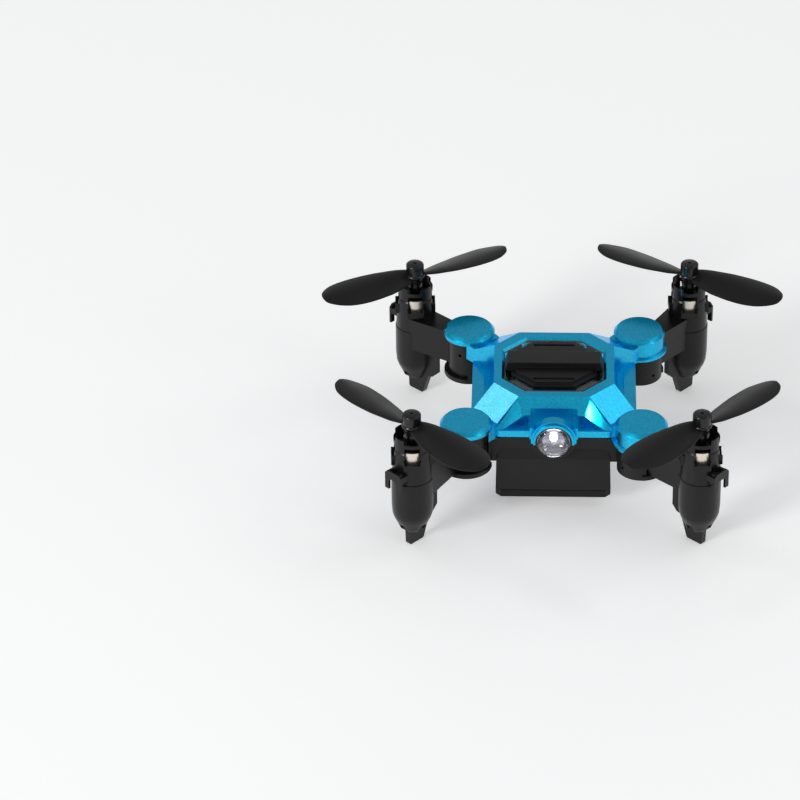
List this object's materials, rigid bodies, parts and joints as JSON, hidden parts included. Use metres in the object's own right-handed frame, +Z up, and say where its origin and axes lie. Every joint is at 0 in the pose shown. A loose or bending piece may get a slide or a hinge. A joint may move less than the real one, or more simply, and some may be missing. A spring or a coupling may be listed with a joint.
{
  "type": "mini palm drone",
  "caption": "Palm-size folding quadcopter with pinwheel arms, twin-blade propellers, a headlamp and a slide-out battery.",
  "frame": {"origin": "centre of the battery tray's flat underside; the leg tips reach 2.5 mm below it", "axes": "+Z up along the rotor axes, -Y forwards through the headlamp, +X to the right seen from above with the rear up the page"},
  "size_m": [0.0867, 0.0785, 0.0279],
  "materials": {
    "shell_paint": "metallic blue paint with fine flake on moulded plastic, satin clear coat",
    "shell_black": "satin moulded black plastic",
    "grille_black": "satin moulded black plastic",
    "arm_black": "satin moulded black plastic",
    "battery_black": "satin moulded black plastic",
    "button_black": "satin moulded black plastic",
    "connector_black": "moulded black plastic",
    "endcap_plastic": "moulded dark plastic",
    "blade_black": "satin charcoal plastic",
    "clear_plastic": "clear polished plastic",
    "reflector_chrome": "vacuum plated",
    "led_white": "white lamp package",
    "motor_metal": "satin champagne-toned steel",
    "magnet_grey": "plated magnet",
    "copper_wire": "enamelled copper winding",
    "shaft_steel": "ground steel",
    "lead_insulation": "soft wire insulation",
    "board_green": "solder-masked circuit board",
    "chip_black": "moulded chip packages",
    "switch_steel": "stamped steel",
    "screw_steel": "black zinc plated steel",
    "cell_foil": "laminated foil pouch",
    "port_steel": "stamped steel shell",
    "contact_gold": "gold plated"
  },
  "bodies": {
    "airframe": {"top_shell": "shell_paint", "bottom_shell": "shell_black", "top_grille": "grille_black", "light_guide": "clear_plastic", "main_board": "board_green", "board_chips": "chip_black", "status_leds": "led_white", "battery_connector": "connector_black", "power_switch": "switch_steel", "hinge_screws": "screw_steel", "headlamp_bezel": "shell_black", "headlamp_reflector": "reflector_chrome", "headlamp_led": "led_white", "headlamp_lens": "clear_plastic"},
    "battery": {"battery_case": "battery_black", "battery_cell": "cell_foil", "charge_port": "port_steel", "battery_contacts": "contact_gold"},
    "power_button": {"power_button": "button_black"},
    "arm_fl": {"arm_lower_fl": "arm_black", "arm_upper_fl": "arm_black", "motor_can_fl": "motor_metal", "motor_magnet_fl": "magnet_grey", "motor_endcap_fl": "endcap_plastic", "motor_leads_fl": "lead_insulation"},
    "rotor_fl": {"rotor_shaft_fl": "shaft_steel", "rotor_winding_fl": "copper_wire", "propeller_fl": "blade_black"},
    "arm_fr": {"arm_lower_fr": "arm_black", "arm_upper_fr": "arm_black", "motor_can_fr": "motor_metal", "motor_magnet_fr": "magnet_grey", "motor_endcap_fr": "endcap_plastic", "motor_leads_fr": "lead_insulation"},
    "rotor_fr": {"rotor_shaft_fr": "shaft_steel", "rotor_winding_fr": "copper_wire", "propeller_fr": "blade_black"},
    "arm_rr": {"arm_lower_rr": "arm_black", "arm_upper_rr": "arm_black", "motor_can_rr": "motor_metal", "motor_magnet_rr": "magnet_grey", "motor_endcap_rr": "endcap_plastic", "motor_leads_rr": "lead_insulation"},
    "rotor_rr": {"rotor_shaft_rr": "shaft_steel", "rotor_winding_rr": "copper_wire", "propeller_rr": "blade_black"},
    "arm_rl": {"arm_lower_rl": "arm_black", "arm_upper_rl": "arm_black", "motor_can_rl": "motor_metal", "motor_magnet_rl": "magnet_grey", "motor_endcap_rl": "endcap_plastic", "motor_leads_rl": "lead_insulation"},
    "rotor_rl": {"rotor_shaft_rl": "shaft_steel", "rotor_winding_rl": "copper_wire", "propeller_rl": "blade_black"}
  },
  "joints": [
    {"name": "battery_slide", "type": "slide", "parent": "airframe", "child": "battery", "axis": [0, -1, 0], "range_m": [-0.03, 0]},
    {"name": "button_press", "type": "slide", "parent": "airframe", "child": "power_button", "axis": [0, -1, 0], "range_m": [0, 0.0006], "stiffness_N_per_m": 150},
    {"name": "arm_fold_fl", "type": "hinge", "parent": "airframe", "child": "arm_fl", "pos_m": [-0.016, -0.016, 0.012], "axis": [0, 0, 1], "range_deg": [0, 99]},
    {"name": "rotor_spin_fl", "type": "hinge", "parent": "arm_fl", "child": "rotor_fl", "pos_m": [-0.0255, -0.02648, 0.02], "axis": [0, 0, 1], "continuous": true},
    {"name": "arm_fold_fr", "type": "hinge", "parent": "airframe", "child": "arm_fr", "pos_m": [0.016, -0.016, 0.012], "axis": [0, 0, 1], "range_deg": [0, 99]},
    {"name": "rotor_spin_fr", "type": "hinge", "parent": "arm_fr", "child": "rotor_fr", "pos_m": [0.02648, -0.0255, 0.02], "axis": [0, 0, 1], "continuous": true},
    {"name": "arm_fold_rr", "type": "hinge", "parent": "airframe", "child": "arm_rr", "pos_m": [0.016, 0.016, 0.012], "axis": [0, 0, 1], "range_deg": [0, 99]},
    {"name": "rotor_spin_rr", "type": "hinge", "parent": "arm_rr", "child": "rotor_rr", "pos_m": [0.0255, 0.02648, 0.02], "axis": [0, 0, 1], "continuous": true},
    {"name": "arm_fold_rl", "type": "hinge", "parent": "airframe", "child": "arm_rl", "pos_m": [-0.016, 0.016, 0.012], "axis": [0, 0, 1], "range_deg": [0, 99]},
    {"name": "rotor_spin_rl", "type": "hinge", "parent": "arm_rl", "child": "rotor_rl", "pos_m": [-0.02648, 0.0255, 0.02], "axis": [0, 0, 1], "continuous": true}
  ]
}
